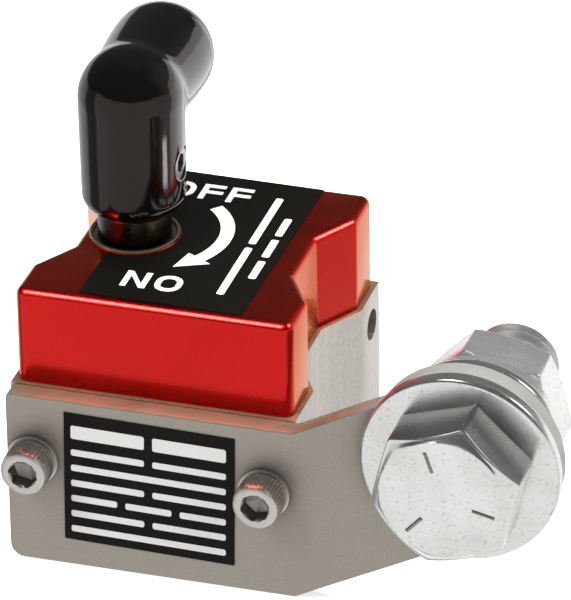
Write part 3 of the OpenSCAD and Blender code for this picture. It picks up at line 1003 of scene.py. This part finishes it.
def grip_form(name, radius, bottom, rim, hole, voxel):
    """Voxel skin of the handle pulled onto its exact surface."""
    sides = 64
    column, arm = [], []
    for i in range(13):
        a = math.pi / 2 * i / 12
        column.append((radius * math.sin(a), ELBOW_Z + radius * math.cos(a)))
        arm.append((radius * math.sin(a), ARM_END_Y + radius * math.cos(a)))
    column.append((radius, bottom))
    arm.append((radius, 0))
    column_form = rings_mesh(about_shaft(column, sides))
    arm_form = rings_mesh(along_y(arm, HANDLE_X, ELBOW_Z, sides))
    piece = mesh_object(name, *join_parts([column_form, arm_form]))
    voxelise(piece, voxel)
    if hole:
        side_x = HANDLE_X + radius
        cut(piece, [cylinder((side_x - 3.2, 0, SET_Z), (side_x + 3, 0, SET_Z), hole, 48)])
        voxelise(piece, voxel)
    points = np.array([v.co for v in piece.data.vertices]) / MM
    small = 0.01
    for _ in range(6):
        here = grip_distance(points, radius, bottom, rim, hole)
        slope = np.stack([(grip_distance(points + small * np.eye(3)[k], radius, bottom, rim, hole)
                           - grip_distance(points - small * np.eye(3)[k], radius, bottom, rim, hole))
                          / (2 * small) for k in range(3)], axis=1)
        size = np.maximum(np.sum(slope * slope, axis=1), 0.2)
        points -= np.clip(here / size, -0.3, 0.3)[:, None] * slope
    for vertex, point in zip(piece.data.vertices, points):
        vertex.co = Vector(point) * MM
    return piece


def handle_grip():
    bottom = GRIP_LOW.z
    grip = grip_form("dipped_grip", GRIP_R, bottom, GRIP_RIM, HOLE_R, 0.34)
    core = grip_form("core_cutter", GRIP_R - COATING_T, bottom - 2, 0.1, 0, 0.5)
    shape = ([tuple(v.co / MM) for v in core.data.vertices], [tuple(p.vertices) for p in core.data.polygons])
    bpy.data.objects.remove(core)
    cut(grip, [shape])
    grip.data.materials.clear()
    grip.data.materials.append(VINYL)
    shade(grip, 60)
    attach(grip, "handle")
    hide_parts("handle_grip")


handle_grip()


# ---- print on the labels ----

INK_LIFT, INK_T = 0.004, 0.03
BAR_GAP = 1.2
BAR_ROUND = 0.3


def prism(outline, place, low, high):
    """Flat printed shape between two levels."""
    n = len(outline)
    verts = [place(u, v, low) for u, v in outline] + [place(u, v, high) for u, v in outline]
    faces = [tuple(range(n)), tuple(range(2 * n - 1, n - 1, -1))]
    faces += [(k, (k + 1) % n, (k + 1) % n + n, k + n) for k in range(n)]
    return verts, faces


def band(outer, inner, place, low, high):
    """Flat printed band between two matching closed lines."""
    n = len(outer)
    verts = []
    for line in (outer, inner):
        for level in (low, high):
            verts += [place(u, v, level) for u, v in line]
    faces = []
    for k in range(n):
        j = (k + 1) % n
        faces += [(k, j, n + j, n + k), (2 * n + k, 3 * n + k, 3 * n + j, 2 * n + j),
                  (k, 2 * n + k, 2 * n + j, j), (n + k, n + j, 3 * n + j, 3 * n + k)]
    return verts, faces


def rounded(u0, u1, v0, v1, radius, inset=0, steps=3):
    """Outline of a rectangle with round corners, moved inwards by inset."""
    corners = [(u0, v0, radius), (u1, v0, radius), (u1, v1, radius), (u0, v1, radius)]
    return offset_outline(corners, inset, steps)


def spans(start, end, count):
    """Start and end of equal bars that fill a line."""
    pitch = (end - start + BAR_GAP) / count
    return [(start + i * pitch, start + (i + 1) * pitch - BAR_GAP) for i in range(count)]


RATING_TILT = math.radians(-1.1)
LINE_START, LINE_END = -11.0, 11.5
TITLE_Z, TITLE_H = 20.3, 2.1
LINE_Z, LINE_H, LINE_PITCH = 17.6, 1.0, 2.45
TITLE_BARS = 2
LINE_BARS = (2, 1, 2, 3, 2, 1)


def rating_print():
    """Generic print on the plate's label: a title line and smaller lines of equal bars."""
    centre_x = (RATING_LOW.x + RATING_HIGH.x) / 2
    centre_z = (RATING_LOW.z + RATING_HIGH.z) / 2

    def place(u, v, height):
        du, dv = u - centre_x, v - centre_z
        return (centre_x + du * math.cos(RATING_TILT) - dv * math.sin(RATING_TILT), RATING_LOW.y - height,
                centre_z + du * math.sin(RATING_TILT) + dv * math.cos(RATING_TILT))

    rows = [(TITLE_Z, TITLE_H, TITLE_BARS)]
    rows += [(LINE_Z - i * LINE_PITCH, LINE_H, count) for i, count in enumerate(LINE_BARS)]
    parts = []
    for low, height, count in rows:
        for start, end in spans(LINE_START, LINE_END, count):
            outline = rounded(start, end, low, low + height, BAR_ROUND)
            parts.append(prism(outline, place, INK_LIFT, INK_T))
    verts, faces = join_parts(parts)
    new_piece("rating_print", verts, faces, [INK], "clamp_body", (), 20)


STROKE = 0.85
SLANT = STROKE * 1.45
LETTER_ROUND = 1.8
OFF_LINE = (11.9, 16.3)
ON_LINE = (10.8, 15.2)


def letter_o(u0, u1, v0, v1):
    """Outer and inner outline of a plain round O."""
    return [rounded(u0, u1, v0, v1, LETTER_ROUND, inset, 6) for inset in (0, STROKE)]


def letter_f(u0, u1, v0, v1):
    middle = (v0 + v1) / 2
    return [(u0, v0), (u0 + STROKE, v0), (u0 + STROKE, middle - STROKE / 2), (u1, middle - STROKE / 2),
            (u1, middle + STROKE / 2), (u0 + STROKE, middle + STROKE / 2), (u0 + STROKE, v1 - STROKE),
            (u1, v1 - STROKE), (u1, v1), (u0, v1)]


def letter_n(u0, u1, v0, v1):
    return [(u0, v0), (u0 + STROKE, v0), (u0 + STROKE, v1 - SLANT), (u1 - STROKE, v0), (u1, v0), (u1, v1),
            (u1 - STROKE, v1), (u1 - STROKE, v0 + SLANT), (u0 + STROKE, v1), (u0, v1)]


ARROW_CENTRE = (-7.9, 1.1)
ARROW_IN, ARROW_OUT = 10.8, 12.8
ARROW_START, ARROW_END = 48, -31
HEAD_HALF, HEAD_ANGLE = 2.2, 21
SIDE_LINES = ((7.4, 8.5, -14.0, 14.8, 2), (10.3, 11.4, -8.6, 9.3, 3))


def arrow():
    """Outline of a plain curved arrow: an arc with a triangular head."""
    middle = (ARROW_IN + ARROW_OUT) / 2
    head = ((middle + HEAD_HALF, ARROW_END), (middle, ARROW_END - HEAD_ANGLE),
            (middle - HEAD_HALF, ARROW_END))
    outline = arc(*ARROW_CENTRE, ARROW_OUT, ARROW_START, ARROW_END, 24)
    for radius, angle in head:
        outline += arc(*ARROW_CENTRE, radius, angle, angle, 1)[:1]
    return outline + arc(*ARROW_CENTRE, ARROW_IN, ARROW_END, ARROW_START, 24)


def switch_print():
    """Generic print on the cover's label: plain ON and OFF, a curved arrow and two lines of equal bars."""
    def place(u, v, height):
        return (u, v, SWITCH_TOP + height)

    def turned(u, v, height):
        return (-u, -v, SWITCH_TOP + height)

    parts = [band(*letter_o(-8.2, -4.4, *OFF_LINE), place, INK_LIFT, INK_T),
             prism(letter_f(-3.5, -0.3, *OFF_LINE), place, INK_LIFT, INK_T),
             prism(letter_f(0.6, 3.8, *OFF_LINE), place, INK_LIFT, INK_T),
             band(*letter_o(-2.2, 1.6, *ON_LINE), turned, INK_LIFT, INK_T),
             prism(letter_n(2.6, 6.2, *ON_LINE), turned, INK_LIFT, INK_T),
             prism(arrow(), place, INK_LIFT, INK_T)]
    for u0, u1, start, end, count in SIDE_LINES:
        for v0, v1 in spans(start, end, count):
            parts.append(prism(rounded(u0, u1, v0, v1, BAR_ROUND), place, INK_LIFT, INK_T))
    verts, faces = join_parts(parts)
    new_piece("switch_print", verts, faces, [INK], "clamp_body", (), 20)


rating_print()
switch_print()


# ---- stage ----

STUDIO_FRONT = 0.86
STUDIO_SIDE = 1.02
SKY_FRONT = 0.05
SKY_BACK = 0.11
SKY_RIGHT = 0.32
DARK_STRIP = 0.22
DIM_RIGHT = 0.72
FRONT_AT, GLOW_AT, STRIP_AT, DIM_AT = 8.0, 118.0, -79.0, 102.0
FRONT_GLINT = (-0.18, -0.34, 0.61)
SIDE_GLINT = (0.50, 0.18, 0.48)
HANDLE_MIDDLE = (-0.0088, 0, 0.055)
PLATED_PIECES = ("lead_bolt", "hex_nut", "head_washer", "lug_washer_inner", "lug_washer_outer",
                 "socket_screws")


def world():
    """Studio seen by the metal: white sheet and walls up to a low horizon, dark above."""
    made = bpy.data.worlds.new("studio")
    bpy.context.scene.world = made
    made.use_nodes = True
    tree = made.node_tree
    background = tree.nodes["Background"]

    def node(kind, **values):
        n = tree.nodes.new(kind)
        for key, value in values.items():
            setattr(n, key, value)
        return n

    def math_node(operation, a, b=None):
        n = node("ShaderNodeMath", operation=operation)
        for socket, value in zip(n.inputs, (a, b)):
            if isinstance(value, bpy.types.NodeSocket):
                tree.links.new(value, socket)
            elif value is not None:
                socket.default_value = value
        return n.outputs[0]

    def spread(value, start, end, to_start=0.0, to_end=1.0):
        n = node("ShaderNodeMapRange", interpolation_type="SMOOTHSTEP")
        tree.links.new(value, n.inputs["Value"])
        for key, number in (("From Min", start), ("From Max", end), ("To Min", to_start), ("To Max", to_end)):
            n.inputs[key].default_value = number
        return n.outputs["Result"]

    def mix(factor, a, b):
        n = node("ShaderNodeMix", data_type="FLOAT")
        for socket, value in ((n.inputs[0], factor), (n.inputs[2], a), (n.inputs[3], b)):
            if isinstance(value, bpy.types.NodeSocket):
                tree.links.new(value, socket)
            else:
                socket.default_value = value
        return n.outputs[0]

    coords = node("ShaderNodeTexCoord")
    split = node("ShaderNodeSeparateXYZ")
    tree.links.new(coords.outputs["Generated"], split.inputs[0])
    elevation = math_node("MULTIPLY", math_node("ARCSINE", split.outputs["Z"]), 180 / math.pi)
    azimuth = math_node("ARCTAN2", split.outputs["X"], math_node("MULTIPLY", split.outputs["Y"], -1.0))
    azimuth = math_node("MULTIPLY", azimuth, 180 / math.pi)
    from_front = math_node("ABSOLUTE", math_node("SUBTRACT", azimuth, FRONT_AT))
    walls = spread(from_front, 80, 115, STUDIO_FRONT, STUDIO_SIDE)
    horizon = spread(from_front, 60, 110, 12.0, 3.0)
    above = spread(math_node("SUBTRACT", elevation, horizon), -1.5, 2.5)
    sky = spread(from_front, 60, 150, SKY_FRONT, SKY_BACK)
    from_right = math_node("ABSOLUTE", math_node("SUBTRACT", azimuth, GLOW_AT))
    side_glow = math_node("MULTIPLY", spread(from_right, 42, 14), spread(elevation, 62, 35))
    sky = mix(side_glow, sky, SKY_RIGHT)
    from_strip = math_node("ABSOLUTE", math_node("SUBTRACT", azimuth, STRIP_AT))
    walls = mix(spread(from_strip, 18, 11), walls, DARK_STRIP)
    from_dim = math_node("ABSOLUTE", math_node("SUBTRACT", azimuth, DIM_AT))
    walls = mix(spread(from_dim, 34, 14), walls, DIM_RIGHT)
    value = mix(above, walls, sky)
    path = node("ShaderNodeLightPath")
    value = mix(path.outputs["Is Camera Ray"], value, 1.0)
    tree.links.new(value, background.inputs["Color"])


def stage():
    floor_mesh = bpy.data.meshes.new("floor")
    half = 3.0
    floor_mesh.from_pydata([(-half, -half, 0), (half, -half, 0), (half, half, 0), (-half, half, 0)], [],
                           [(0, 1, 2, 3)])
    floor = bpy.data.objects.new("floor", floor_mesh)
    floor.location.z = -0.0001
    bpy.context.scene.collection.objects.link(floor)
    s = Shader("floor")
    s.set(Base_Color=(0.80, 0.80, 0.80), Roughness=0.9, Specular_IOR_Level=0.0)
    s.set(Emission_Color=(1, 1, 1), Emission_Strength=0.62)
    floor_mesh.materials.append(s.material)
    floor.visible_glossy = False
    floor.visible_diffuse = False
    floor.visible_shadow = False


def soft_light(name, place, size, power, mirrored_by=(), aim=(0, 0, 0.03)):
    """Soft box. It lights matt surfaces only, or is mirrored by the named pieces alone."""
    data = bpy.data.lights.new(name, "AREA")
    data.shape = "SQUARE"
    data.size = size
    data.energy = power
    made = bpy.data.objects.new(name, data)
    made.location = place
    made.rotation_mode = "QUATERNION"
    made.rotation_quaternion = (Vector(aim) - Vector(place)).to_track_quat("-Z", "Y")
    bpy.context.scene.collection.objects.link(made)
    if not mirrored_by:
        made.visible_glossy = False
        return
    made.visible_diffuse = False
    made.visible_camera = False
    group = bpy.data.collections.new(name + "_mirrors")
    for piece in mirrored_by:
        group.objects.link(bpy.data.objects[piece])
    made.light_linking.receiver_collection = group


def camera():
    """Camera at the photo's angle, fitted to the edges of the housing, cover and plate."""
    azimuth, elevation, roll = (math.radians(a) for a in (17.24, 29.088, 0.831))
    distance, lens = 903.4, 380.1
    aim = Vector((8.03, 16.27, 23.65))
    back = Vector((math.sin(azimuth) * math.cos(elevation), -math.cos(azimuth) * math.cos(elevation),
                   math.sin(elevation)))
    right = Vector((math.cos(azimuth), math.sin(azimuth), 0))
    up = back.cross(right)
    right, up = right * math.cos(roll) - up * math.sin(roll), up * math.cos(roll) + right * math.sin(roll)
    place = (aim + back * distance) * MM
    data = bpy.data.cameras.new("camera")
    data.lens = lens
    data.clip_start = 0.01
    made = bpy.data.objects.new("camera", data)
    bpy.context.scene.collection.objects.link(made)
    made.matrix_world = Matrix(((right.x, up.x, back.x, place.x), (right.y, up.y, back.y, place.y),
                                (right.z, up.z, back.z, place.z), (0, 0, 0, 1)))
    bpy.context.scene.camera = made


world()
stage()
camera()
soft_light("key", (-0.5, -0.6, 0.9), 0.5, 12)
soft_light("fill", (0.8, -0.2, 0.6), 0.5, 7)
soft_light("overhead", (0.1, 0.2, 1.0), 0.5, 16)
soft_light("front_glint", FRONT_GLINT, 0.34, 9.0, ("cover_shell",))
soft_light("side_glint", SIDE_GLINT, 0.24, 5.0, ("cover_shell",))
soft_light("front_glint_plated", FRONT_GLINT, 0.20, 0.5, PLATED_PIECES)
soft_light("side_glint_plated", SIDE_GLINT, 0.20, 0.7, PLATED_PIECES)
soft_light("handle_glow", (0.38, 0.46, -0.08), 0.70, 1.9, ("dipped_grip",), HANDLE_MIDDLE)
soft_light("handle_streak", (0.0276, -0.0030, 0.0378), 0.0066, 0.0011, ("dipped_grip",), HANDLE_MIDDLE)
bpy.context.scene.view_settings.view_transform = "Standard"
